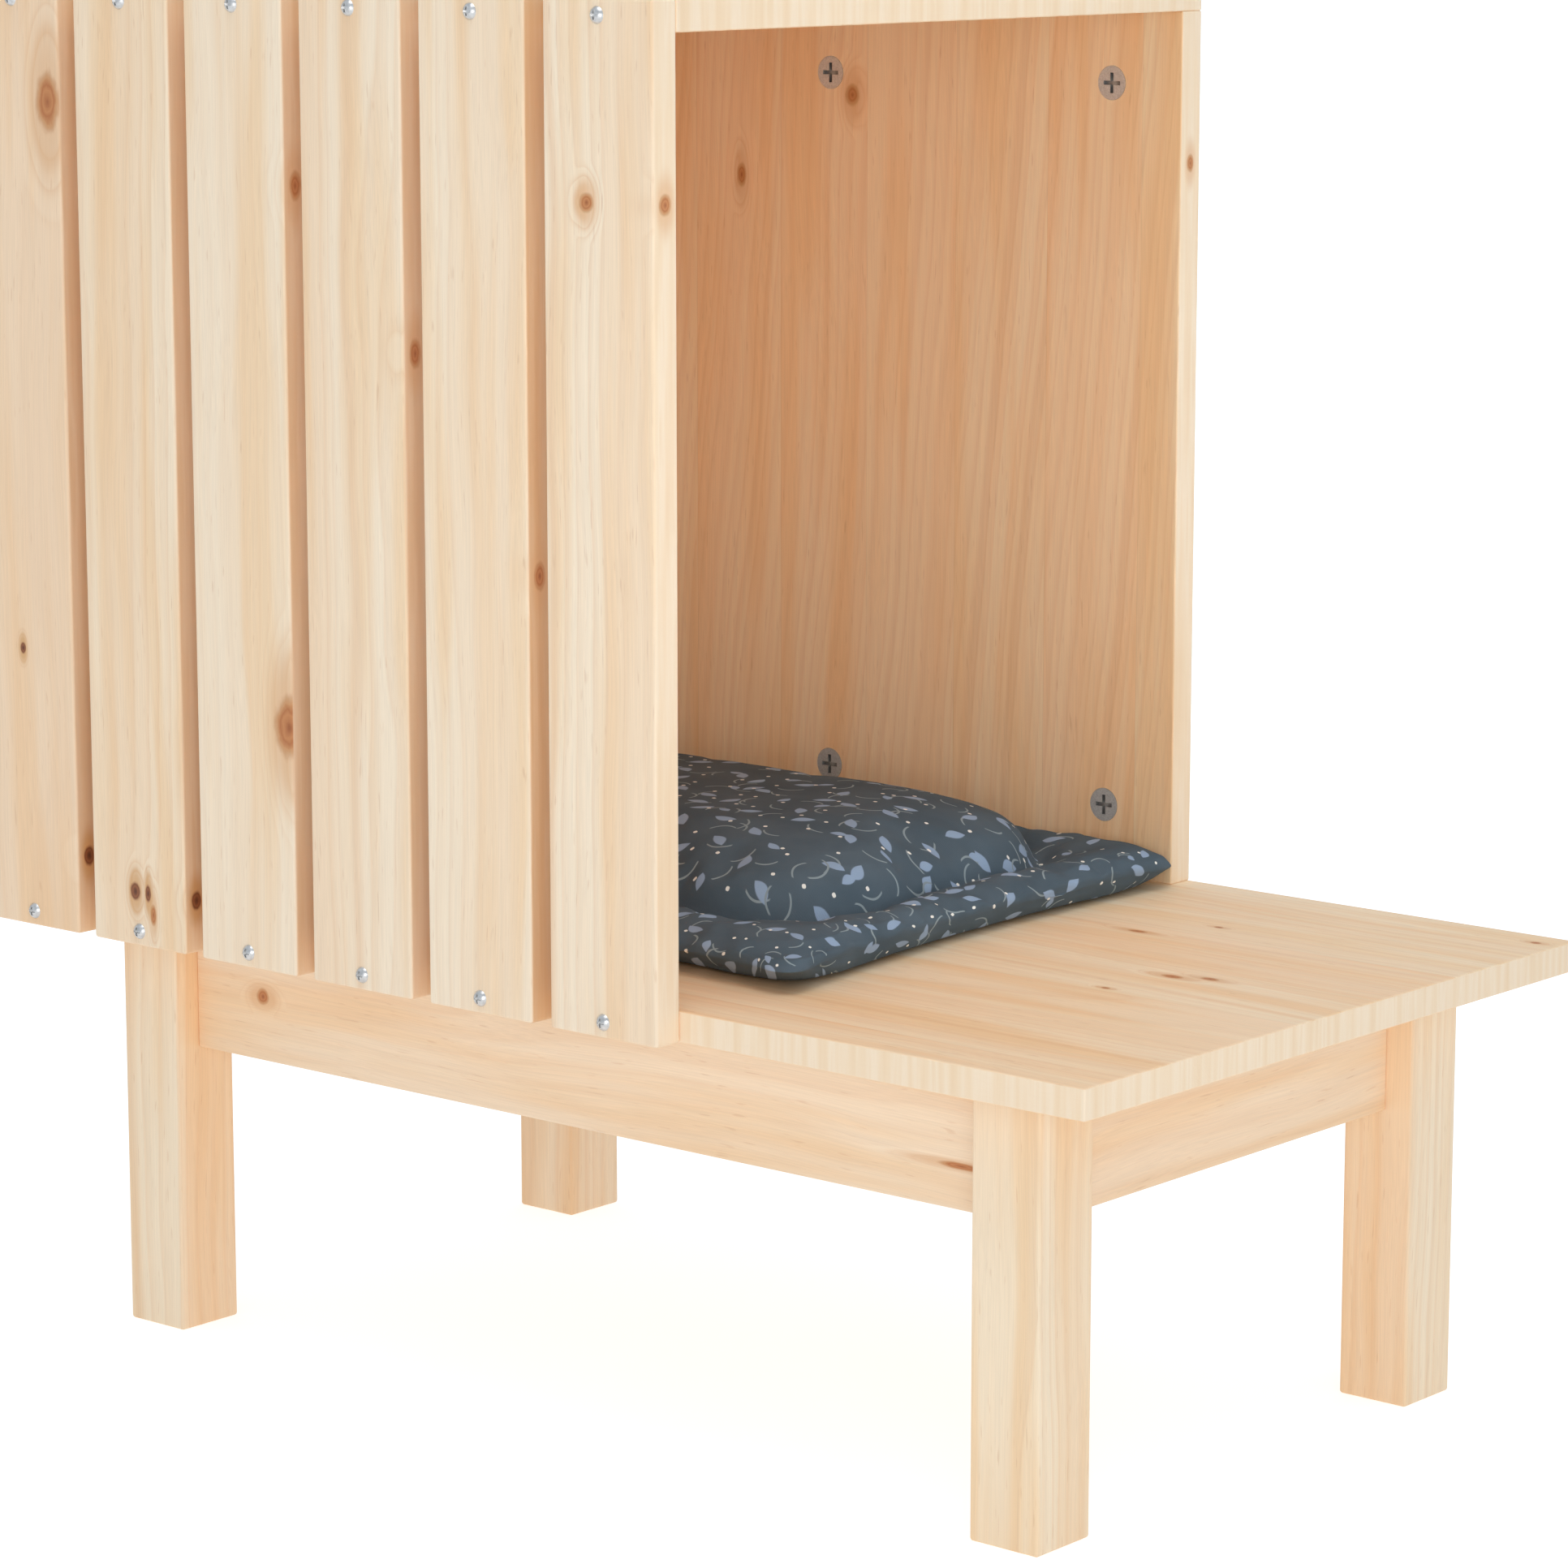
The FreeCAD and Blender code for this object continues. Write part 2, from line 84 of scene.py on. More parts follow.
def add(tree, kind, inputs=(), stops=(), **settings):
    """Adds a node with its settings, its inputs and, on a ramp, its (place, hex colour or grey) stops."""
    node = tree.nodes.new(kind)
    for name, value in settings.items():
        setattr(node, name, value)
    for _ in stops[2:]:
        node.color_ramp.elements.new(1.0)
    for k, (place, shade) in enumerate(stops):
        element = node.color_ramp.elements[k]
        element.position = place
        element.color = linear(shade) if isinstance(shade, str) else (shade, shade, shade, 1)
    connect(tree, node, inputs)
    return node


def new_material(name, **shader_values):
    """A material, its tree and its Principled shader, with constant values on the shader's own sockets."""
    material = bpy.data.materials.new(name)
    material.use_nodes = True
    shader = material.node_tree.nodes["Principled BSDF"]
    for socket, value in shader_values.items():
        shader.inputs[socket.replace("_", " ")].default_value = value
    return material, material.node_tree, shader


def dress(material, *names):
    """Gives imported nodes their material."""
    for name in names:
        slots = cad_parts[name].data.materials
        slots.clear()
        slots.append(material)


# Planed pine. Pale sapwood with soft yearly rings: a wide cream spring band that deepens to a narrow
# peach summer line, broad warmer bands towards the heart, fine long fibres, short resin flecks, and
# orange-brown knots that the rings flow round.
PINE_SPRING = "#FBE7CB"
PINE_PEACH = "#F8D9B2"
PINE_SUMMER = "#E4B484"
PINE_HEART = "#F3C89A"
RESIN = "#C58C5A"
PITH_ASIDE = 70.0        # the pith lies at most this far to a side of a board's middle
PITH_DEPTH = (45.0, 90.0)          # and this far behind it
RING_GAP = 5.5           # mean ring spacing
RING_WANDER = 4.0        # how unevenly the rings are spaced
RING_RUN = 3.0           # rings over which their spacing changes
RING_SHARE = 0.5         # strength of the summer lines
# Strength of the summer line through a year
SUMMER_STOPS = [(0.0, 0.5), (0.1, 0.04), (0.5, 0.12), (0.86, 0.75), (0.95, 1.0), (1.0, 0.5)]
VIGOUR_PACE = 0.37       # how fast the summer lines change from year to year
HEART_GAP = 19.0         # spacing of the broad bands
HEART_RANGE = (0.42, 0.66)         # of the noise, from no band to a full one
HEART_SHARE = 0.35
DRIFT = 5.0              # slow wander of the grain
DRIFT_SPAN = (60.0, 60.0, 240.0)
TINT_SPAN = (16.0, 16.0, 300.0)
TINT_RANGE = (0.42, 0.68)
FLECK_SPAN = (0.9, 0.9, 11.0)
FLECK_RANGE = (0.74, 0.84)
FLECK_SHARE = 0.22
FIBRE_SPAN = (0.55, 0.55, 45.0)
FIBRE_RANGE = (0.25, 0.75)
FIBRE_SHADES = (0.94, 1.04)
PINE_ROUGHNESS = (0.5, 0.66)
LINE_RELIEF = 0.6        # height of the summer lines, in that of the fibres
PINE_RELIEF = 0.4
PINE_BUMP = 0.18

# Edge-glued boards and sawn edges
LOG_SHIFT = (170.0, 60.0, 900.0)   # how far apart in their logs neighbouring staves may lie
STAVE_TINTS = ("#FFF5EA", "#FFFEF9")
GLUE_LINE = 0.35
GLUE_SHADE = 0.86
EDGE_TURN = (0.3, 0.7)   # share of a normal along the faces' axis: an edge below the first, a face above
BAND_SPAN = (5.0, 5.0, 90.0)
SAWN_BANDS = [(0.3, "#F2D5B0"), (0.45, "#F5DBB9"), (0.6, "#F8E2C5"), (0.72, "#F3D8B5")]

# Sound knots are orange-brown with fine rings of their own, dead ones dark with a strong tan glow
KNOT_GLOWS = {False: ("#E0AE7C", 0.6), True: ("#D39B5C", 0.75)}
KNOT_RINGS = {
    False: [(0.0, "#A45F35"), (0.2, "#BA7544"), (0.4, "#C98753"), (0.55, "#BA7342"), (0.78, "#CF9562"),
            (1.0, "#BE804E")],
    True: [(0.0, "#5C3018"), (0.3, "#7A4526"), (0.55, "#985C37"), (0.75, "#7C4728"), (1.0, "#A86A42")],
}
KNOT_RIPPLE = 0.12       # unevenness of a knot's outline, in its radii
RIPPLE_SPAN = (4.0, 4.0, 7.0)
KNOT_EDGE = (0.7, 1.2)   # where a knot's own colour begins to fade and ends, in its radii
KNOT_MERGE = 0.3         # how softly neighbouring knots run together, in their radii
GLOW_LENGTH = 1.7        # the glow runs on along the grain
GLOW_REACH = (0.6, 2.4)
SPIKE = 2.2              # length of a knot that comes out of an edge, in its radii
BOW = 2.2                # rings that a knot pushes aside
BOW_LENGTH = 1.5
BOW_REACH = (0.8, 3.2)


class Knot(NamedTuple):
    """A knot's place across and along the grain, its radius and its stretch along the grain.

    A dark knot is a dead one. An edge knot comes out of the edge at that place across, and its own place
    is through the thickness.
    """
    place: float
    along: float
    radius: float
    stretch: float = 1.3
    dark: bool = False
    edge: float = None


def grain_turn(across, along):
    """Angles that turn the object's axes to a board's: X across its face, Y through it, Z along it."""
    rows = AXES[across], AXES[along].cross(AXES[across]), AXES[along]
    return Matrix(rows).to_euler()


def knot_reach(tree, board, knots, length):
    """Distance to the nearest knot in its own radii, all drawn out along the grain by a factor."""
    reach = None
    for knot in knots:
        if knot.edge is None:
            centre, across, through = Vector((knot.place, 0, knot.along)), 1, math.inf
        else:
            centre, across, through = Vector((knot.edge, knot.place, knot.along)), SPIKE, 1
        scale = Vector([1 / knot.radius / spread for spread in (across, through, knot.stretch * length)])
        gap_at = add(tree, "ShaderNodeMapping",
                     {"Vector": board, "Scale": scale, "Location": -centre * scale})
        gap = add(tree, "ShaderNodeVectorMath", {0: gap_at}, operation="LENGTH")
        reach = gap if reach is None else add(
            tree, "ShaderNodeMath", {0: reach, 1: gap, 2: KNOT_MERGE}, operation="SMOOTH_MIN")
    return reach


def stain_knots(tree, board, colour, knots):
    """Colours a board's knots: a glow that runs along the grain, then the knot's own fine rings."""
    ripple_at = add(tree, "ShaderNodeVectorMath", {0: board, 1: RIPPLE_SPAN}, operation="DIVIDE")
    ripple = add(tree, "ShaderNodeTexNoise", {"Vector": ripple_at, "Scale": 1.0, "Detail": 2.0},
                 normalize=False)
    for dark in sorted({knot.dark for knot in knots}):
        alike = [knot for knot in knots if knot.dark == dark]
        glow_colour, glow_share = KNOT_GLOWS[dark]
        glow = add(tree, "ShaderNodeMapRange",
                   {"Value": knot_reach(tree, board, alike, GLOW_LENGTH),
                    "From Min": GLOW_REACH[0], "From Max": GLOW_REACH[1],
                    "To Min": glow_share, "To Max": 0.0},
                   interpolation_type="SMOOTHERSTEP")
        colour = add(tree, "ShaderNodeMix", {"Factor": glow, "A": colour, "B": linear(glow_colour)},
                     data_type="RGBA")
        reach = add(tree, "ShaderNodeMath",
                    {0: ripple, 1: KNOT_RIPPLE, 2: knot_reach(tree, board, alike, 1)},
                    operation="MULTIPLY_ADD")
        rings = add(tree, "ShaderNodeValToRGB", {"Fac": reach}, KNOT_RINGS[dark])
        heart = add(tree, "ShaderNodeMapRange",
                    {"Value": reach, "From Min": KNOT_EDGE[0], "From Max": KNOT_EDGE[1],
                     "To Min": 1.0, "To Max": 0.0},
                    interpolation_type="SMOOTHSTEP")
        colour = add(tree, "ShaderNodeMix", {"Factor": heart, "A": colour, "B": rings}, data_type="RGBA")
    return colour


def growth(tree, log, middle, lean, draw):
    """A board's ring field: the uneven distance in millimetres from a pith that leans a little."""
    slope = Euler((math.radians(draw.uniform(-lean, lean)), math.radians(draw.uniform(-lean, lean)), 0))
    pith = Vector((draw.uniform(-PITH_ASIDE, PITH_ASIDE), draw.uniform(*PITH_DEPTH), 0))
    trunk = add(tree, "ShaderNodeMapping",
                {"Vector": log, "Rotation": slope, "Location": -(slope.to_matrix() @ middle) - pith})
    radial = add(tree, "ShaderNodeVectorMath", {0: trunk, 1: (1, 1, 0)}, operation="MULTIPLY")
    radius = add(tree, "ShaderNodeVectorMath", {0: radial}, operation="LENGTH")
    year_at = add(tree, "ShaderNodeMath", {0: radius, 1: RING_RUN * RING_GAP}, operation="DIVIDE")
    years = add(tree, "ShaderNodeTexNoise", {"W": year_at, "Scale": 1.0, "Detail": 2.0},
                noise_dimensions="1D", normalize=False)
    return add(tree, "ShaderNodeMath", {0: years, 1: RING_WANDER, 2: radius}, operation="MULTIPLY_ADD")


def figure_lines(tree, rings):
    """Strength of the narrow summer lines, deeper in some years, and of the broad bands of many years."""
    phase = add(tree, "ShaderNodeMath", {0: rings, 1: RING_GAP}, operation="DIVIDE")
    season = add(tree, "ShaderNodeMath", {0: phase}, operation="FRACT")
    summer = add(tree, "ShaderNodeValToRGB", {"Fac": season}, SUMMER_STOPS)
    vigour_at = add(tree, "ShaderNodeMath", {0: phase, 1: VIGOUR_PACE}, operation="MULTIPLY")
    vigour = add(tree, "ShaderNodeTexNoise", {"W": vigour_at, "Scale": 1.0, "Detail": 1.0},
                 noise_dimensions="1D")
    line = add(tree, "ShaderNodeMath", {0: summer, 1: vigour}, operation="MULTIPLY")
    heart_at = add(tree, "ShaderNodeMath", {0: rings, 1: HEART_GAP}, operation="DIVIDE")
    heart = add(tree, "ShaderNodeTexNoise", {"W": heart_at, "Scale": 1.0, "Detail": 1.0},
                noise_dimensions="1D")
    band = add(tree, "ShaderNodeMapRange",
               {"Value": heart, "From Min": HEART_RANGE[0], "From Max": HEART_RANGE[1]},
               interpolation_type="SMOOTHSTEP")
    return line, band


def sawn_edge(tree, coords, colour, faces, tint):
    """Sawn edges of a board whose faces look along an axis: soft upright bands, times a tint that on the
    slats is painted shade of the gaps.
    """
    facing = add(tree, "ShaderNodeSeparateXYZ", {"Vector": coords.outputs["Normal"]})
    level = add(tree, "ShaderNodeMath", {0: facing.outputs[faces]}, operation="ABSOLUTE")
    edge = add(tree, "ShaderNodeMapRange",
               {"Value": level, "From Min": EDGE_TURN[0], "From Max": EDGE_TURN[1],
                "To Min": 1.0, "To Max": 0.0})
    band_at = add(tree, "ShaderNodeMapping", {"Vector": coords.outputs["Object"],
                                              "Scale": [1 / MM / span for span in BAND_SPAN]})
    band = add(tree, "ShaderNodeTexNoise", {"Vector": band_at, "Scale": 1.0, "Detail": 3.0})
    bands = add(tree, "ShaderNodeValToRGB", {"Fac": band}, SAWN_BANDS)
    tinted = add(tree, "ShaderNodeVectorMath", {0: bands, 1: linear(tint)[:3]}, operation="MULTIPLY")
    return add(tree, "ShaderNodeMix", {"Factor": edge, "A": colour, "B": tinted}, data_type="RGBA")


def pine(node, across, along, knots=(), stave=None, lean=1.0, tint="#FFFFFF", figure=1.0, faces=None,
         edge_shade="#FFFFFF"):
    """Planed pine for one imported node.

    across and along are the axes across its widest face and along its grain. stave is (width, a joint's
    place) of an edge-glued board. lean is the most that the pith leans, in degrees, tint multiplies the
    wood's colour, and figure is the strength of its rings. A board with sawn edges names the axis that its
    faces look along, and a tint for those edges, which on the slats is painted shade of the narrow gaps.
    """
    material, tree, shader = new_material(f"planed_pine_{node}", IOR=1.5)
    turn = grain_turn(across, along)
    middle = turn.to_matrix() @ (sum(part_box(node), Vector()) / 2 / MM)
    coords = add(tree, "ShaderNodeTexCoord")
    board = add(tree, "ShaderNodeMapping",
                {"Vector": coords.outputs["Object"], "Rotation": turn, "Scale": (1 / MM,) * 3})
    drift_at = add(tree, "ShaderNodeVectorMath", {0: board, 1: DRIFT_SPAN}, operation="DIVIDE")
    drift = add(tree, "ShaderNodeTexNoise", {"Vector": drift_at, "Scale": 1.0, "Detail": 2.0},
                normalize=False)
    wood = add(tree, "ShaderNodeVectorMath",
               {0: drift.outputs["Color"], 1: (DRIFT, DRIFT, 2 * DRIFT), 2: board},
               operation="MULTIPLY_ADD")
    if stave:
        # Each glued stave comes from another log
        width, joint = stave
        at = add(tree, "ShaderNodeSeparateXYZ", {"Vector": board})
        count = add(tree, "ShaderNodeMath", {0: at, 1: 1 / width, 2: -joint / width},
                    operation="MULTIPLY_ADD")
        number = add(tree, "ShaderNodeMath", {0: count}, operation="FLOOR")
        chance = add(tree, "ShaderNodeTexWhiteNoise", {"W": number}, noise_dimensions="1D")
        wood = add(tree, "ShaderNodeVectorMath",
                   {0: chance.outputs["Color"], 1: LOG_SHIFT, 2: wood}, operation="MULTIPLY_ADD")

    rings = growth(tree, wood, middle, lean, random.Random(node))
    if knots:
        bow = add(tree, "ShaderNodeMapRange",
                  {"Value": knot_reach(tree, board, knots, BOW_LENGTH),
                   "From Min": BOW_REACH[0], "From Max": BOW_REACH[1], "To Min": 1.0, "To Max": 0.0},
                  interpolation_type="SMOOTHERSTEP")
        rings = add(tree, "ShaderNodeMath", {0: bow, 1: BOW * RING_GAP, 2: rings}, operation="MULTIPLY_ADD")
    line, band = figure_lines(tree, rings)

    # Long tints, summer lines, broad bands, resin flecks and fibres
    tint_at = add(tree, "ShaderNodeVectorMath", {0: wood, 1: TINT_SPAN}, operation="DIVIDE")
    stripe = add(tree, "ShaderNodeTexNoise", {"Vector": tint_at, "Scale": 1.0, "Detail": 2.0})
    stripe_share = add(tree, "ShaderNodeMapRange",
                       {"Value": stripe, "From Min": TINT_RANGE[0], "From Max": TINT_RANGE[1]},
                       interpolation_type="SMOOTHSTEP")
    colour = add(tree, "ShaderNodeMix",
                 {"Factor": stripe_share, "A": linear(PINE_SPRING), "B": linear(PINE_PEACH)},
                 data_type="RGBA")
    band_share = add(tree, "ShaderNodeMath", {0: band, 1: HEART_SHARE * figure}, operation="MULTIPLY")
    colour = add(tree, "ShaderNodeMix", {"Factor": band_share, "A": colour, "B": linear(PINE_HEART)},
                 data_type="RGBA")
    line_share = add(tree, "ShaderNodeMath", {0: line, 1: RING_SHARE * figure}, operation="MULTIPLY")
    if knots:
        # The lines are twice as strong beside a knot
        line_share = add(tree, "ShaderNodeMath", {0: line_share, 1: bow, 2: line_share},
                         operation="MULTIPLY_ADD")
    colour = add(tree, "ShaderNodeMix", {"Factor": line_share, "A": colour, "B": linear(PINE_SUMMER)},
                 data_type="RGBA")
    fleck_at = add(tree, "ShaderNodeVectorMath", {0: wood, 1: FLECK_SPAN}, operation="DIVIDE")
    fleck = add(tree, "ShaderNodeTexNoise", {"Vector": fleck_at, "Scale": 1.0, "Detail": 0.0})
    fleck_share = add(tree, "ShaderNodeMapRange",
                      {"Value": fleck, "From Min": FLECK_RANGE[0], "From Max": FLECK_RANGE[1],
                       "To Max": FLECK_SHARE})
    colour = add(tree, "ShaderNodeMix", {"Factor": fleck_share, "A": colour, "B": linear(RESIN)},
                 data_type="RGBA")
    fibre_at = add(tree, "ShaderNodeVectorMath", {0: wood, 1: FIBRE_SPAN}, operation="DIVIDE")
    fibre = add(tree, "ShaderNodeTexNoise", {"Vector": fibre_at, "Scale": 1.0, "Detail": 2.0})
    streak = add(tree, "ShaderNodeMapRange",
                 {"Value": fibre, "From Min": FIBRE_RANGE[0], "From Max": FIBRE_RANGE[1],
                  "To Min": FIBRE_SHADES[0], "To Max": FIBRE_SHADES[1]})
    colour = add(tree, "ShaderNodeVectorMath", {0: colour, "Scale": streak}, operation="SCALE")
    if stave:
        stave_tint = add(tree, "ShaderNodeMix",
                         {"Factor": chance.outputs["Value"],
                          "A": linear(STAVE_TINTS[0]), "B": linear(STAVE_TINTS[1])},
                         data_type="RGBA")
        colour = add(tree, "ShaderNodeVectorMath", {0: colour, 1: stave_tint}, operation="MULTIPLY")
        share = add(tree, "ShaderNodeMath", {0: count}, operation="FRACT")
        glue = add(tree, "ShaderNodeMapRange",
                   {"Value": share, "From Max": GLUE_LINE / width, "To Min": GLUE_SHADE})
        colour = add(tree, "ShaderNodeVectorMath", {0: colour, "Scale": glue}, operation="SCALE")
    colour = add(tree, "ShaderNodeVectorMath", {0: colour, 1: linear(tint)[:3]}, operation="MULTIPLY")
    on_face = [knot for knot in knots if knot.edge is None]
    if on_face:
        colour = stain_knots(tree, board, colour, on_face)
    if faces:
        colour = sawn_edge(tree, coords, colour, faces, edge_shade)
    on_edge = [knot for knot in knots if knot.edge is not None]
    if on_edge:
        colour = stain_knots(tree, board, colour, on_edge)
    rough = add(tree, "ShaderNodeMapRange",
                {"Value": fibre, "To Min": PINE_ROUGHNESS[0], "To Max": PINE_ROUGHNESS[1]})
    relief = add(tree, "ShaderNodeMath", {0: line, 1: LINE_RELIEF, 2: fibre}, operation="MULTIPLY_ADD")
    bump = add(tree, "ShaderNodeBump",
               {"Height": relief, "Strength": PINE_BUMP, "Distance": PINE_RELIEF * MM})
    connect(tree, shader, {"Base Color": colour, "Roughness": rough, "Normal": bump})
    dress(material, node)


# Knots of the slats, where the photograph shows them
EDGE_KNOT_DEPTH = -172.0
SLAT_KNOTS = {
    "slat_1": [Knot(-249.0, 550, 7.0, 1.8), Knot(-274, 311, 1.8, 1.4, dark=True),
               Knot(EDGE_KNOT_DEPTH, 221, 3.0, 1.5, dark=True, edge=-242)],
    "slat_2": [Knot(-205, 211, 3.2, 1.3, dark=True), Knot(-197, 211, 1.8, 2.2, dark=True),
               Knot(-194, 202, 1.8, 2.6), Knot(EDGE_KNOT_DEPTH, 210, 3.0, 1.4, dark=True, edge=-174)],
    "slat_3": [Knot(-108, 294, 8.5, 1.5), Knot(EDGE_KNOT_DEPTH, 520, 3.4, 1.8, edge=-106)],
    "slat_4": [Knot(EDGE_KNOT_DEPTH, 455, 3.2, 1.9, edge=-38)],
    "slat_5": [Knot(EDGE_KNOT_DEPTH, 370, 3.2, 1.8, edge=30)],
    "slat_6": [Knot(63, 521, 3.8, 1.0), Knot(EDGE_KNOT_DEPTH, 521, 3.4, 1.3, edge=98)],
}
SLAT_TINTS = {"slat_1": "#FFFBF8", "slat_2": "#FFFDFA"}
SLAT_FIGURES = {"slat_3": 0.5, "slat_5": 0.7}
# Painted shade: darker, warmer tints on the slats' sawn sides stand for the shade in the narrow gaps;
# slat_6's outer side is lit and stays untinted
SLAT_GAP_SHADES = {"slat_5": "#EDD8C3", "slat_6": "#FFFFFF"}
SLAT_GAP_SHADE = "#F6EADF"
for name, knots in SLAT_KNOTS.items():
    pine(name, "X", "Z", knots, tint=SLAT_TINTS.get(name, "#FFFFFF"), figure=SLAT_FIGURES.get(name, 1.0),
         faces="Y", edge_shade=SLAT_GAP_SHADES.get(name, SLAT_GAP_SHADE))

PANEL_TINT = "#FFF9EF"
DECK_TINT = "#FFFEFC"
PANEL_KNOTS = [Knot(-88, 545, 4.0, 1.2), Knot(-155, 506, 2.8, 2.0), Knot(174, 521, 2.4, 1.6, edge=98)]
pine("side_panel", "X", "Z", PANEL_KNOTS, stave=(52.0, -27.0), lean=6.0, tint=PANEL_TINT, faces="Y")
pine("rear_panel", "Y", "Z", [Knot(-60, 430, 5.0), Knot(70, 300, 4.0)],
     stave=(52.0, -10.0), lean=6.0, tint=PANEL_TINT, faces="X")
DECK_KNOTS = [Knot(77, 146, 1.9, 2.6), Knot(106, 168, 1.4, 1.6), Knot(14, 210, 2.6, 2.0),
              Knot(20, 225, 2.2, 2.0), Knot(-21, 202, 1.4, 1.6), Knot(167, 289, 1.7, 1.5)]
pine("base_board", "Y", "X", DECK_KNOTS, stave=(57.0, -26.0), lean=2.0, tint=DECK_TINT, figure=0.75,
     faces="Z")
pine("roof_board", "Y", "X", [Knot(60, -120, 5.0, 1.8), Knot(-90, 20, 4.0, 2.0)], stave=(57.0, -8.0),
     lean=2.0, faces="Z")
LEG_TINT = "#FFFEFA"
for end in ("front", "rear"):
    for side in ("near", "far"):
        pine(f"leg_{end}_{side}", "X", "Z", lean=0.5, tint=LEG_TINT)
APRON_TINT = "#FFFDFB"
pine("apron_near", "Z", "X", [Knot(158, -183, 3.6, 1.0), Knot(147, 210, 1.4, 8.0)], tint=APRON_TINT,
     figure=0.5)
pine("apron_far", "Z", "X", tint=APRON_TINT, figure=0.5)
for end in ("front", "rear"):
    pine(f"apron_{end}", "Z", "Y")


# Turned beech pins: pale pinkish wood with fine short rays, unfinished.
BEECH_RAY = 0.8


def beech():
    """The dowels."""
    material, tree, shader = new_material("turned_beech", IOR=1.5, Roughness=0.6)
    coords = add(tree, "ShaderNodeTexCoord")
    ray_at = add(tree, "ShaderNodeMapping",
                 {"Vector": coords.outputs["Object"], "Scale": (1 / MM / BEECH_RAY,) * 3})
    ray = add(tree, "ShaderNodeTexNoise", {"Vector": ray_at, "Scale": 1.0, "Detail": 2.0})
    tint = add(tree, "ShaderNodeValToRGB", {"Fac": ray}, [(0.3, "#C79E75"), (0.7, "#DDBB93")])
    connect(tree, shader, {"Base Color": tint})
    dress(material, "side_dowels", "rear_dowels", "leg_dowels")


# Zinc-plated steel: bright blue-white metal, slightly clouded by the plating.
PLATING_CLOUD = 1.5
PLATING_ROUGHNESS = (0.22, 0.4)


def zinc_plate():
    """The screws and the cam locks' bolts."""
    material, tree, shader = new_material("zinc_plated_steel", Metallic=1.0)
    coords = add(tree, "ShaderNodeTexCoord")
    cloud_at = add(tree, "ShaderNodeMapping",
                   {"Vector": coords.outputs["Object"], "Scale": (1 / MM / PLATING_CLOUD,) * 3})
    cloud = add(tree, "ShaderNodeTexNoise", {"Vector": cloud_at, "Scale": 1.0, "Detail": 3.0})
    tint = add(tree, "ShaderNodeValToRGB", {"Fac": cloud}, [(0.3, "#C9C8C6"), (0.7, "#E3E2E0")])
    rough = add(tree, "ShaderNodeMapRange",
                {"Value": cloud, "To Min": PLATING_ROUGHNESS[0], "To Max": PLATING_ROUGHNESS[1]})
    connect(tree, shader, {"Base Color": tint, "Roughness": rough})
    dress(material, "slat_screws_bottom", "slat_screws_top", "board_screws", "side_cam_bolts",
          "rear_cam_bolts")


# Die-cast zinc: pale grey metal, dulled by the fine grainy skin from its mould, with shade painted into its
# recesses.
CAST_GRAIN = 0.7
CAST_RELIEF = 0.1
CAST_BUMP = 0.2
CAST_ROUGHNESS = (0.3, 0.5)
RECESS_SHADE_REACH = 3.0          # reach of the painted shade in a recess
RECESS_SHADE_RANGE = (0.3, 0.9)           # how open a recess and a plain face are
RECESS_SHADE_LEVEL = 0.3


def cast_zinc():
    """The cam locks' nuts."""
    material, tree, shader = new_material("die_cast_zinc", Metallic=0.55)
    coords = add(tree, "ShaderNodeTexCoord")
    skin_at = add(tree, "ShaderNodeMapping",
                  {"Vector": coords.outputs["Object"], "Scale": (1 / MM / CAST_GRAIN,) * 3})
    skin = add(tree, "ShaderNodeTexNoise", {"Vector": skin_at, "Scale": 1.0, "Detail": 3.0})
    tint = add(tree, "ShaderNodeValToRGB", {"Fac": skin}, [(0.3, "#CECCC7"), (0.7, "#E9E7E2")])
    # Painted shade: ambient occlusion darkens the colour in the recesses, such as the cam's cross
    open_share = add(tree, "ShaderNodeAmbientOcclusion", {"Distance": RECESS_SHADE_REACH * MM}, samples=8)
    painted_shade = add(tree, "ShaderNodeMapRange",
                {"Value": open_share.outputs["AO"], "From Min": RECESS_SHADE_RANGE[0], "From Max": RECESS_SHADE_RANGE[1],
                 "To Min": RECESS_SHADE_LEVEL})
    tint = add(tree, "ShaderNodeVectorMath", {0: tint, "Scale": painted_shade}, operation="SCALE")
    rough = add(tree, "ShaderNodeMapRange",
                {"Value": skin, "To Min": CAST_ROUGHNESS[0], "To Max": CAST_ROUGHNESS[1]})
    bump = add(tree, "ShaderNodeBump",
               {"Height": skin, "Strength": CAST_BUMP, "Distance": CAST_RELIEF * MM})
    connect(tree, shader, {"Base Color": tint, "Roughness": rough, "Normal": bump})
    dress(material, "side_cam_nuts", "rear_cam_nuts")


beech()
zinc_plate()
cast_zinc()


# Cushion, as it is sewn: a padded border round a higher middle, with a channel between them
SEAM_HEIGHT = 9.0        # side seam above the underside
SEAM_RADIUS = 24.0       # corner of the side seam
CHANNEL_RADIUS = 66.0    # corner of the channel
CHANNEL_TAPER = 0.7      # how fast that corner tightens further in
BORDER_WIDTH = 36.0      # from the side seam to the channel
FIELD_SHIFT = 20.0       # middle field, off the cushion's middle towards the side panel
SKEW = 14.0              # how much further back the cushion lies along the side panel
SIDE_DRAW = 6.0          # how far the sides pull in between the corners
OUTLINE_STEPS = 24       # rounds in which a point's place between the seams is found
OUTLINE_SHARE = 0.6      # of the way that each round goes
WELD = 0.01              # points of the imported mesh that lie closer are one
PAD_VOXEL = 4.0
PAD_SLACK = 1.5          # the pad starts this much inside its space and swells into it
PAD_SWELL = 6.0          # the furthest that a point moves
PAD_FRAMES = 20
PAD_CLEAR = 0.4          # kept between the pad and the wood
BASE_PIN = 2.0           # height of the underside that lies flat
CREASE_DEPTH = 1.6
CREASE_WIDTH = 2.6
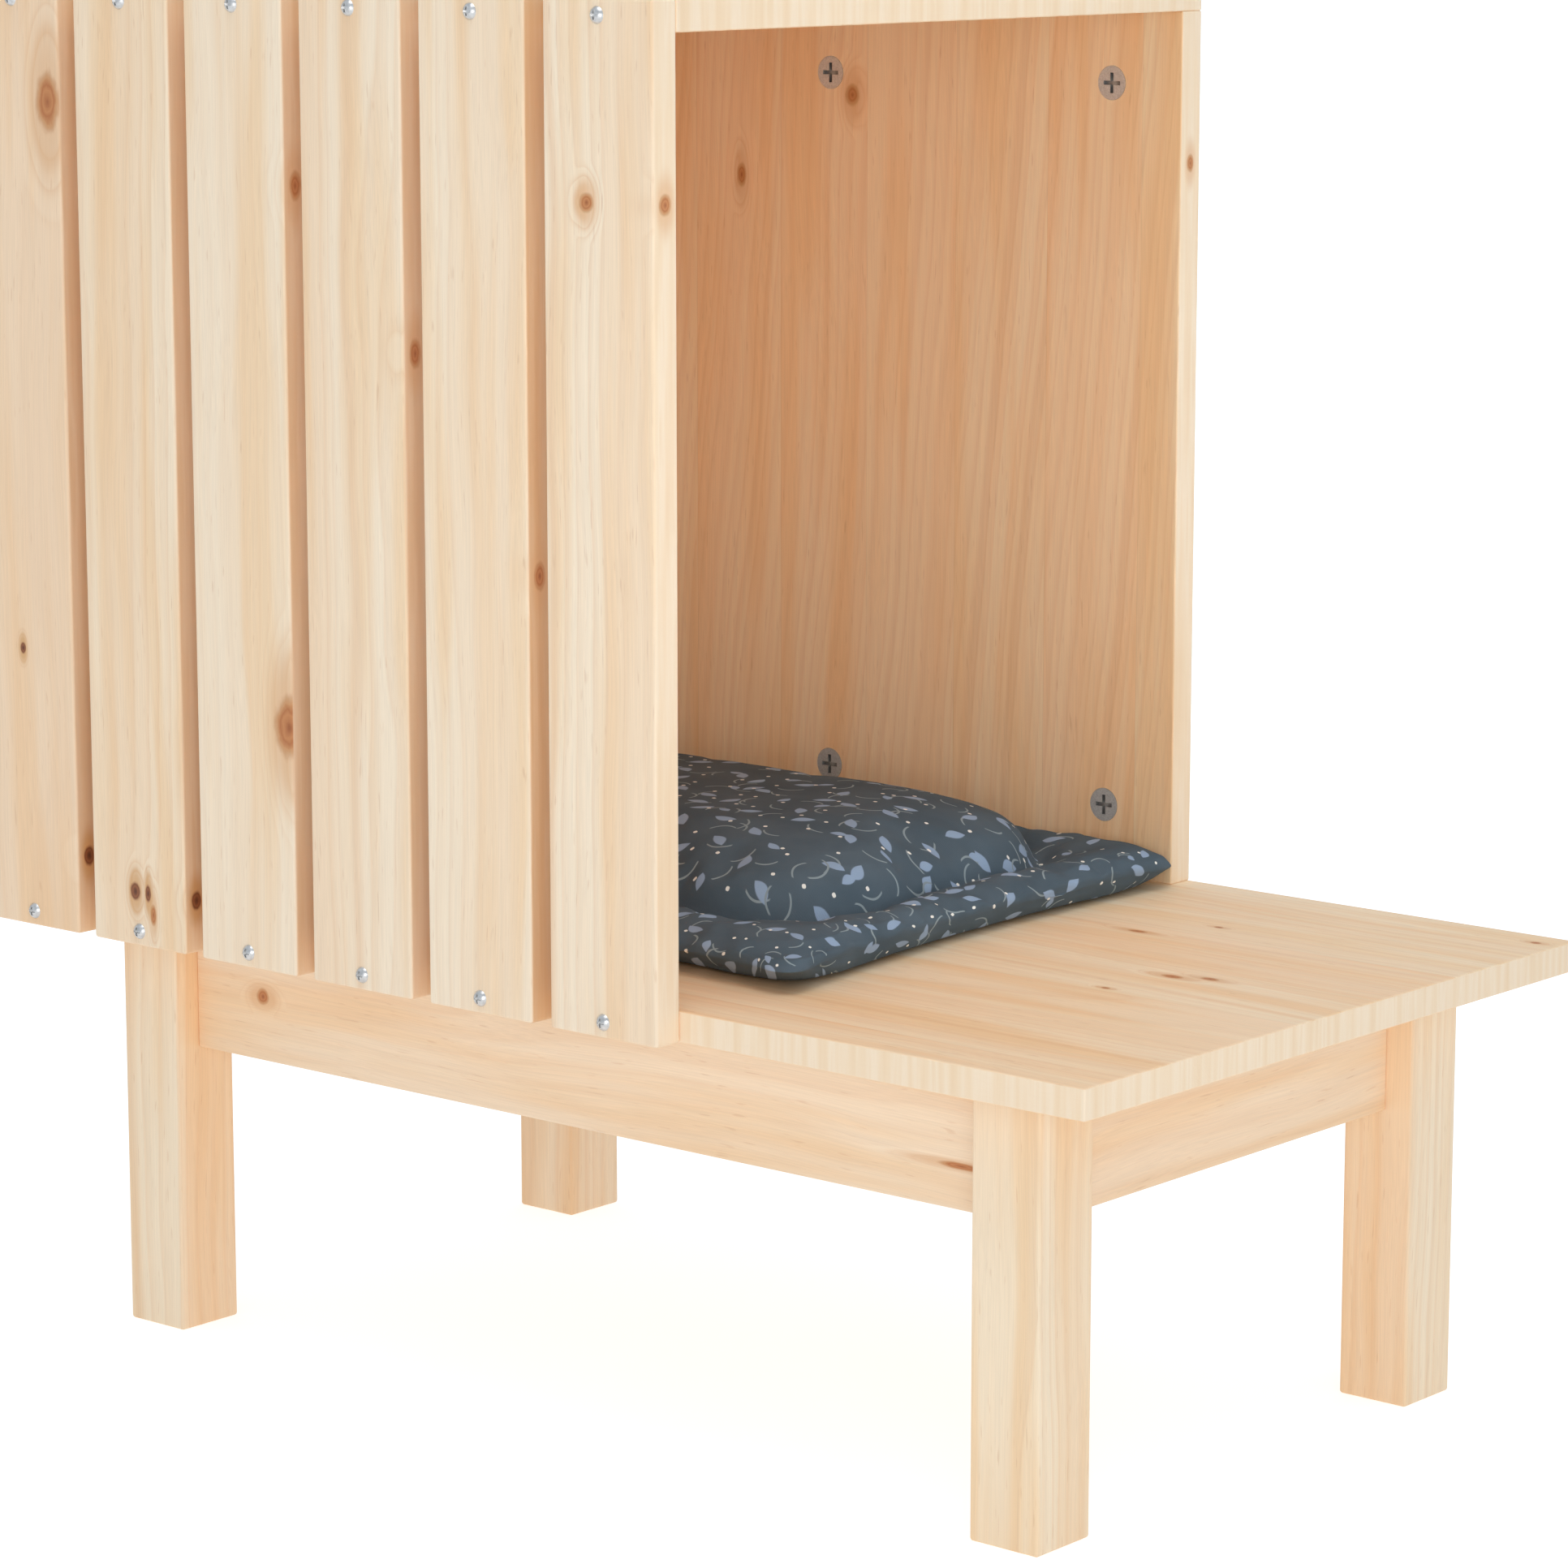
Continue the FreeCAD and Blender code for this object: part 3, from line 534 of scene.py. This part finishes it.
PUCKER_HEIGHT = 0.9
PUCKER_LENGTH = 17.0
PUCKER_UNEVEN = 1.7      # how far a gather lies from its even place, in radians of the wave
PUCKER_UNEVEN_LENGTH = 23.0
PUCKER_REACH = 14.0
PUCKER_END = 0.1         # how much of a corner's turn the gathers reach into
EAR = 8.0                # how far the sewn corners stand out
EAR_REACH = 20.0
EAR_POINT = 3            # how sharply they are drawn out
UNDER_TURN = 1.4         # cloth that turns under below the side seam, for each millimetre of fall
CREST_RUN = 8.0          # run over which the border's cloth turns from lying to hanging


def cushion_outline(points):
    """How far each point lies in from the side seam (mm), and the way out of the cushion, from above."""
    low, high = [np.array(corner)[:2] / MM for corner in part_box("cushion")]
    half = (high - low - (SKEW, 0)) / 2
    from_middle = points[:, :2] / MM - (low + high) / 2
    from_middle[:, 0] += SKEW * from_middle[:, 1] / (2 * half[1])
    inset = np.zeros(len(points))
    for _ in range(OUTLINE_STEPS):
        outward = np.clip(1 - inset / BORDER_WIDTH, 0, 1)[:, None]
        from_field = from_middle - (1 - outward) * (0, FIELD_SHIFT)
        apart = np.abs(from_field)
        corner = CHANNEL_RADIUS + (SEAM_RADIUS - CHANNEL_RADIUS) * outward
        corner -= CHANNEL_TAPER * np.maximum(inset - BORDER_WIDTH, 0)[:, None]
        side = half - inset[:, None]
        pulled = SIDE_DRAW * (1 + outward) / 2 * (1 - np.minimum(apart / side, 1)[:, ::-1] ** 2)
        past = apart - (side - pulled - corner)
        turn = np.linalg.norm(np.maximum(past, 0), axis=1, keepdims=True)
        deeper = corner - turn - np.minimum(past.max(axis=1, keepdims=True), 0)
        inset = np.clip(inset + OUTLINE_SHARE * deeper[:, 0], -BORDER_WIDTH, 2 * BORDER_WIDTH)
    flat_side = np.where(past >= past.max(axis=1, keepdims=True), 1.0, 0.0)
    out = np.where(turn > 0, np.maximum(past, 0) / np.maximum(turn, TINY), flat_side)
    return inset, out * np.sign(from_field)


def mesh_points(mesh):
    """A mesh's vertices as an array."""
    flat = np.empty(3 * len(mesh.vertices))
    mesh.vertices.foreach_get("co", flat)
    return flat.reshape(-1, 3)


def set_mesh_points(mesh, points):
    """Moves a mesh's vertices to the rows of an array."""
    mesh.vertices.foreach_set("co", points.ravel())
    mesh.update()


def cushion_pad():
    """The cushion's pad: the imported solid's form, swollen by cloth pressure between its seams."""
    bpy.ops.object.select_all(action="DESELECT")
    pad = bpy.data.objects.new("cushion_pad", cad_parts["cushion"].data.copy())
    bpy.context.scene.collection.objects.link(pad)
    bpy.context.view_layer.objects.active = pad
    pad.select_set(True)
    pad.data.materials.clear()
    bpy.ops.object.mode_set(mode="EDIT")
    bpy.ops.mesh.select_all(action="SELECT")
    bpy.ops.mesh.remove_doubles(threshold=WELD * MM)
    bpy.ops.mesh.normals_make_consistent(inside=False)
    bpy.ops.object.mode_set(mode="OBJECT")
    pad.data.remesh_voxel_size = PAD_VOXEL * MM
    bpy.ops.object.voxel_remesh()
    bpy.ops.object.mode_set(mode="EDIT")
    bpy.ops.mesh.select_all(action="SELECT")
    bpy.ops.transform.shrink_fatten(value=-PAD_SLACK * MM)
    bpy.ops.object.mode_set(mode="OBJECT")
    swell(pad)
    divided = pad.modifiers.new("divided", "SUBSURF")
    divided.levels = divided.render_levels = 1
    bpy.ops.object.modifier_apply(modifier=divided.name)
    sew(pad)
    bpy.ops.object.shade_smooth()
    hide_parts("cushion")
    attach(pad, "cushion")
    return pad


def seam_places(points):
    """Height above the cushion's underside (mm), inset (mm) and way out of each point."""
    height = points[:, 2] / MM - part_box("cushion")[0].z / MM
    return height, *cushion_outline(points)


def swell(pad):
    """Swells the pad by pressure, its underside, side seam and channel held, and caps each movement."""
    start = mesh_points(pad.data)
    height, inset, _ = seam_places(start)
    at_seam = (inset < 2 * PAD_VOXEL) & (np.abs(height - SEAM_HEIGHT) < PAD_VOXEL)
    at_channel = (height > SEAM_HEIGHT) & (np.abs(inset - BORDER_WIDTH) < PAD_VOXEL)
    held = (height < BASE_PIN + PAD_SLACK) | at_seam | at_channel
    pins = pad.vertex_groups.new(name="seams")
    pins.add(np.flatnonzero(held).tolist(), 1.0, "REPLACE")
    filling = pad.modifiers.new("filling", "CLOTH")
    cloth = filling.settings
    cloth.quality = 6
    cloth.mass = 0.2
    cloth.tension_stiffness = 12
    cloth.compression_stiffness = 12
    cloth.shear_stiffness = 6
    cloth.bending_stiffness = 3.0
    cloth.shrink_min = -0.01
    cloth.use_pressure = True
    cloth.uniform_pressure_force = 4
    cloth.vertex_group_mass = pins.name
    cloth.effector_weights.gravity = 0
    filling.point_cache.frame_start = 1
    filling.point_cache.frame_end = PAD_FRAMES
    for step in range(1, PAD_FRAMES + 1):
        bpy.context.scene.frame_set(step)
    swollen = mesh_points(pad.evaluated_get(bpy.context.evaluated_depsgraph_get()).data)
    pad.modifiers.remove(filling)
    pad.vertex_groups.remove(pins)
    bpy.context.scene.frame_set(1)
    moved = swollen - start
    reach = np.linalg.norm(moved, axis=1, keepdims=True)
    set_mesh_points(pad.data, start + moved * np.minimum(1, PAD_SWELL * MM / np.maximum(reach, TINY)))


def sew(pad):
    """Presses the seams in, gathers the cloth along them, pulls the corners out, and lays the pad down."""
    points = mesh_points(pad.data)
    height, inset, out = seam_places(points)
    upper = height > SEAM_HEIGHT
    from_seam = np.where(inset < BORDER_WIDTH / 2, np.abs(height - SEAM_HEIGHT), np.inf)
    at_corner = np.abs(2 * out[:, 0] * out[:, 1])
    crease = np.exp(-(from_seam / CREASE_WIDTH) ** 2) * CREASE_DEPTH * (1 - at_corner)
    from_corner = np.hypot(np.maximum(inset, 0), height - SEAM_HEIGHT)
    ear = EAR * at_corner ** EAR_POINT * np.exp(-(from_corner / EAR_REACH) ** 2)
    points[:, :2] += out * (ear - crease)[:, None] * MM
    from_channel = np.where(upper, np.abs(inset - BORDER_WIDTH), np.inf)
    groove = np.exp(-(from_channel / (2 * CREASE_WIDTH)) ** 2) * 2 * CREASE_DEPTH
    points[:, 2] -= groove * MM
    # Gathers stand square to the seams and die away from them
    along = points[:, 0] * out[:, 1] - points[:, 1] * out[:, 0]
    uneven = PUCKER_UNEVEN * np.sin(along / MM / PUCKER_UNEVEN_LENGTH)
    wave = np.sin(2 * math.pi * along / MM / PUCKER_LENGTH + uneven)
    fade = np.exp(-np.minimum(from_seam, from_channel) / PUCKER_REACH - at_corner / PUCKER_END)
    fade *= 1 - np.exp(-from_channel / CREASE_WIDTH)
    above = np.clip((height - SEAM_HEIGHT) / CREASE_WIDTH, 0, 1)
    above = np.where(inset < BORDER_WIDTH / 2, above, upper)
    points[:, 2] += wave * fade * above * PUCKER_HEIGHT * MM
    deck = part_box("base_board")[1].z + PAD_CLEAR * MM
    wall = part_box("side_panel")[0].y - PAD_CLEAR * MM
    points[:, 2] = np.maximum(points[:, 2], deck)
    points[:, 1] = np.minimum(points[:, 1], wall)
    set_mesh_points(pad.data, points)
    lay_print(pad, height, inset, out)


def lay_print(pad, height, inset, out):
    """A UV map in metres of cloth: the plan of the pad, let out by what its ups and downs take up."""
    # The pad's mean section in steps of a millimetre from the seam, and how much longer than its plan it is
    sloping = (height > SEAM_HEIGHT) & (inset < 2 * BORDER_WIDTH - 1)
    place = np.maximum(inset[sloping], 0).astype(int)
    section = np.bincount(place, height[sloping]) / np.bincount(place)
    taken_up = np.cumsum((np.hypot(1, np.gradient(section)) - 1)[::-1])[::-1]
    crest = int(BORDER_WIDTH / 2)
    let_out = np.interp(np.maximum(inset, crest), np.arange(len(section)) + 0.5, taken_up)
    fall = np.maximum(section[crest] - height, 0) + UNDER_TURN * np.maximum(SEAM_HEIGHT - height, 0)
    let_out += fall * np.clip((crest - inset) / CREST_RUN, 0, 1)
    cloth = mesh_points(pad.data)[:, :2] + out * let_out[:, None] * MM
    corners = np.empty(len(pad.data.loops), dtype=np.int32)
    pad.data.loops.foreach_get("vertex_index", corners)
    layer = pad.data.uv_layers.new(name="cloth")
    layer.data.foreach_set("uv", cloth[corners].ravel())


# Printed cotton. A matt plain weave dyed slate, printed with pale blue leaves, grey stems and white dots.
COTTON_SLATE = "#59666F"
COTTON_SHADE = "#4F5C65"
PRINT_LEAF = "#96A9C0"
PRINT_STEM = "#8F9B9E"
PRINT_DOT = "#F3EFE4"
WASH_SPAN = 40.0         # clouds in the dye
WEAVE = 0.9              # thread spacing, about twice the real one so that it shows
WEAVE_RELIEF = 0.2
WEAVE_BUMP = 0.25
WAVE_TURNS = 20          # what the wave texture multiplies a place by
SCATTER = 0.8            # how unevenly the motifs are scattered
PRINT_EDGE = (0.9, 1.1)  # where a motif's colour begins to fade and ends, in its own size


class Motif(NamedTuple):
    """A scattered motif: its colour, spacing, half length, half width, bend and share of the places.

    A pointed motif tapers to both ends. The shift moves its scatter away from the other motifs'.
    """
    colour: str
    spacing: float
    length: float
    width: float
    bend: float
    pointed: float
    share: float
    shift: float


MOTIFS = (
    Motif(PRINT_STEM, 19.0, 6.0, 0.5, 2.6, 0.0, 0.7, 3.1),
    Motif(PRINT_LEAF, 21.0, 5.6, 2.7, 0.9, 1.0, 0.75, 0.0),
    Motif(PRINT_STEM, 27.0, 5.0, 0.5, -2.2, 0.0, 0.7, 9.4),
    Motif(PRINT_LEAF, 33.0, 4.0, 2.1, -0.6, 1.0, 0.6, 5.2),
    Motif(PRINT_DOT, 15.0, 1.0, 1.0, 0.0, 0.8, 0.6, 6.6),
)


def printed_cotton(pad):
    """The cushion's cover."""
    material, tree, shader = new_material("printed_cotton", Roughness=0.9, Specular_IOR_Level=0.15)
    cloth = add(tree, "ShaderNodeUVMap", uv_map="cloth")
    wash_at = add(tree, "ShaderNodeMapping", {"Vector": cloth, "Scale": (1 / MM / WASH_SPAN,) * 3})
    wash = add(tree, "ShaderNodeTexNoise", {"Vector": wash_at, "Scale": 1.0, "Detail": 3.0})
    colour = add(tree, "ShaderNodeValToRGB", {"Fac": wash}, [(0.35, COTTON_SHADE), (0.65, COTTON_SLATE)])
    for motif in MOTIFS:
        # Each motif lies in its own cell of a scatter, turned at random
        place = add(tree, "ShaderNodeMapping",
                    {"Vector": cloth, "Scale": (1 / MM / motif.spacing,) * 3,
                     "Location": (motif.shift, 0, 0)})
        nearest = add(tree, "ShaderNodeTexVoronoi", {"Vector": place, "Scale": 1.0, "Randomness": SCATTER},
                      voronoi_dimensions="2D")
        offset = add(tree, "ShaderNodeVectorMath", {0: place, 1: nearest.outputs["Position"]},
                     operation="SUBTRACT")
        chance = add(tree, "ShaderNodeSeparateColor", {"Color": nearest.outputs["Color"]})
        angle = add(tree, "ShaderNodeMath", {0: chance.outputs["Red"], 1: 2 * math.pi},
                    operation="MULTIPLY")
        turned = add(tree, "ShaderNodeVectorRotate", {"Vector": offset, "Angle": angle},
                     rotation_type="Z_AXIS")
        at = add(tree, "ShaderNodeSeparateXYZ", {"Vector": turned})
        run = add(tree, "ShaderNodeMath", {0: at.outputs["X"], 1: motif.spacing / motif.length},
                  operation="MULTIPLY")
        run_square = add(tree, "ShaderNodeMath", {0: run, 1: run}, operation="MULTIPLY")
        bent = add(tree, "ShaderNodeMath",
                   {0: run_square, 1: motif.bend / motif.spacing, 2: at.outputs["Y"]},
                   operation="MULTIPLY_ADD")
        side = add(tree, "ShaderNodeMath", {0: bent}, operation="ABSOLUTE")
        across = add(tree, "ShaderNodeMath", {0: side, 1: motif.spacing / motif.width},
                     operation="MULTIPLY")
        taper = add(tree, "ShaderNodeMath", {0: run_square, 1: motif.pointed, 2: across},
                    operation="MULTIPLY_ADD")
        reach = add(tree, "ShaderNodeMath", {0: taper, 1: run_square}, operation="MAXIMUM")
        shape = add(tree, "ShaderNodeMapRange",
                    {"Value": reach, "From Min": PRINT_EDGE[0], "From Max": PRINT_EDGE[1],
                     "To Min": 1.0, "To Max": 0.0})
        kept = add(tree, "ShaderNodeMath", {0: chance.outputs["Green"], 1: motif.share},
                   operation="LESS_THAN")
        mask = add(tree, "ShaderNodeMath", {0: shape, 1: kept}, operation="MULTIPLY")
        colour = add(tree, "ShaderNodeMix", {"Factor": mask, "A": colour, "B": linear(motif.colour)},
                     data_type="RGBA")
    wave_scale = 2 * math.pi / WAVE_TURNS / (WEAVE * MM)
    warp = add(tree, "ShaderNodeTexWave", {"Vector": cloth, "Scale": wave_scale}, bands_direction="X")
    weft = add(tree, "ShaderNodeTexWave", {"Vector": cloth, "Scale": wave_scale}, bands_direction="Y")
    threads = add(tree, "ShaderNodeMath", {0: warp.outputs["Fac"], 1: weft.outputs["Fac"]},
                  operation="MULTIPLY")
    bump = add(tree, "ShaderNodeBump",
               {"Height": threads, "Strength": WEAVE_BUMP, "Distance": WEAVE_RELIEF * MM})
    connect(tree, shader, {"Base Color": colour, "Normal": bump})
    pad.data.materials.append(material)


printed_cotton(cushion_pad())


class Lamp(NamedTuple):
    """A soft lamp: its place and aim in metres, its size, its power and the angle that it fans out to."""
    at: tuple
    aim: tuple
    size: float
    power: float
    spread: float = 180.0


# Studio: a white floor, an even dome of light, broad lamps in front and above, a narrow one into the cabin
LAMPS = {
    "front": Lamp((1.6, -1.6, 0.62), (0, 0, 0.35), 0.9, 8.0),
    "top": Lamp((0.5, -0.3, 2.6), (0.2, 0, 0.2), 1.5, 15.0),
    "cabin": Lamp((1.4, -0.75, 0.55), (0.05, 0.03, 0.4), 0.2, 0.08, 20.0),
}
DOME_TINT = "#ECF5FF"
DOME_GLOW = 1.2          # as the camera sees it
DOME_LIGHT = 0.72        # as it lights the object
FLOOR_PAINT = "#D8D8D8"
FLOOR_RADIUS = 30.0      # in metres
FLOOR_GLOW = 0.64        # as the camera sees it
FLOOR_LIGHT = 0.35       # as it lights the object


def studio():
    """A plain pale floor, soft light all round and the camera at the photograph's angle."""
    bpy.ops.object.select_all(action="DESELECT")
    bpy.ops.mesh.primitive_circle_add(vertices=96, radius=FLOOR_RADIUS, fill_type="NGON")
    floor = bpy.context.object
    floor.name = "floor"
    paint, tree, shader = new_material("pale_floor", Roughness=0.9, Base_Color=linear(FLOOR_PAINT),
                                       Emission_Color=linear("#FFFFFF"))
    seen = add(tree, "ShaderNodeLightPath")
    glow = add(tree, "ShaderNodeMapRange",
               {"Value": seen.outputs["Is Camera Ray"], "To Min": FLOOR_LIGHT, "To Max": FLOOR_GLOW})
    connect(tree, shader, {"Emission Strength": glow})
    floor.data.materials.append(paint)

    scene = bpy.context.scene
    scene.world = bpy.data.worlds.new("studio")
    scene.world.use_nodes = True
    sky = scene.world.node_tree
    seen = add(sky, "ShaderNodeLightPath")
    strength = add(sky, "ShaderNodeMapRange",
                   {"Value": seen.outputs["Is Camera Ray"], "To Min": DOME_LIGHT, "To Max": DOME_GLOW})
    connect(sky, sky.nodes["Background"], {"Color": linear(DOME_TINT), "Strength": strength})
    scene.view_settings.view_transform = "Standard"
    scene.cycles.diffuse_bounces = 8

    for name, lamp in LAMPS.items():
        light = bpy.data.lights.new(name, "AREA")
        light.size = lamp.size
        light.energy = lamp.power
        light.spread = math.radians(lamp.spread)
        stand = bpy.data.objects.new(name, light)
        stand.location = lamp.at
        stand.rotation_euler = (Vector(lamp.aim) - Vector(lamp.at)).to_track_quat("-Z", "Y").to_euler()
        stand.visible_camera = False
        scene.collection.objects.link(stand)

    camera = bpy.data.objects.new("camera", bpy.data.cameras.new("camera"))
    camera.data.lens = CAMERA_LENS
    camera.location = Vector(CAMERA_AT) * MM
    camera.rotation_euler = (math.radians(90 - CAMERA_PITCH), 0, math.radians(CAMERA_AZIMUTH))
    scene.collection.objects.link(camera)
    scene.camera = camera


studio()
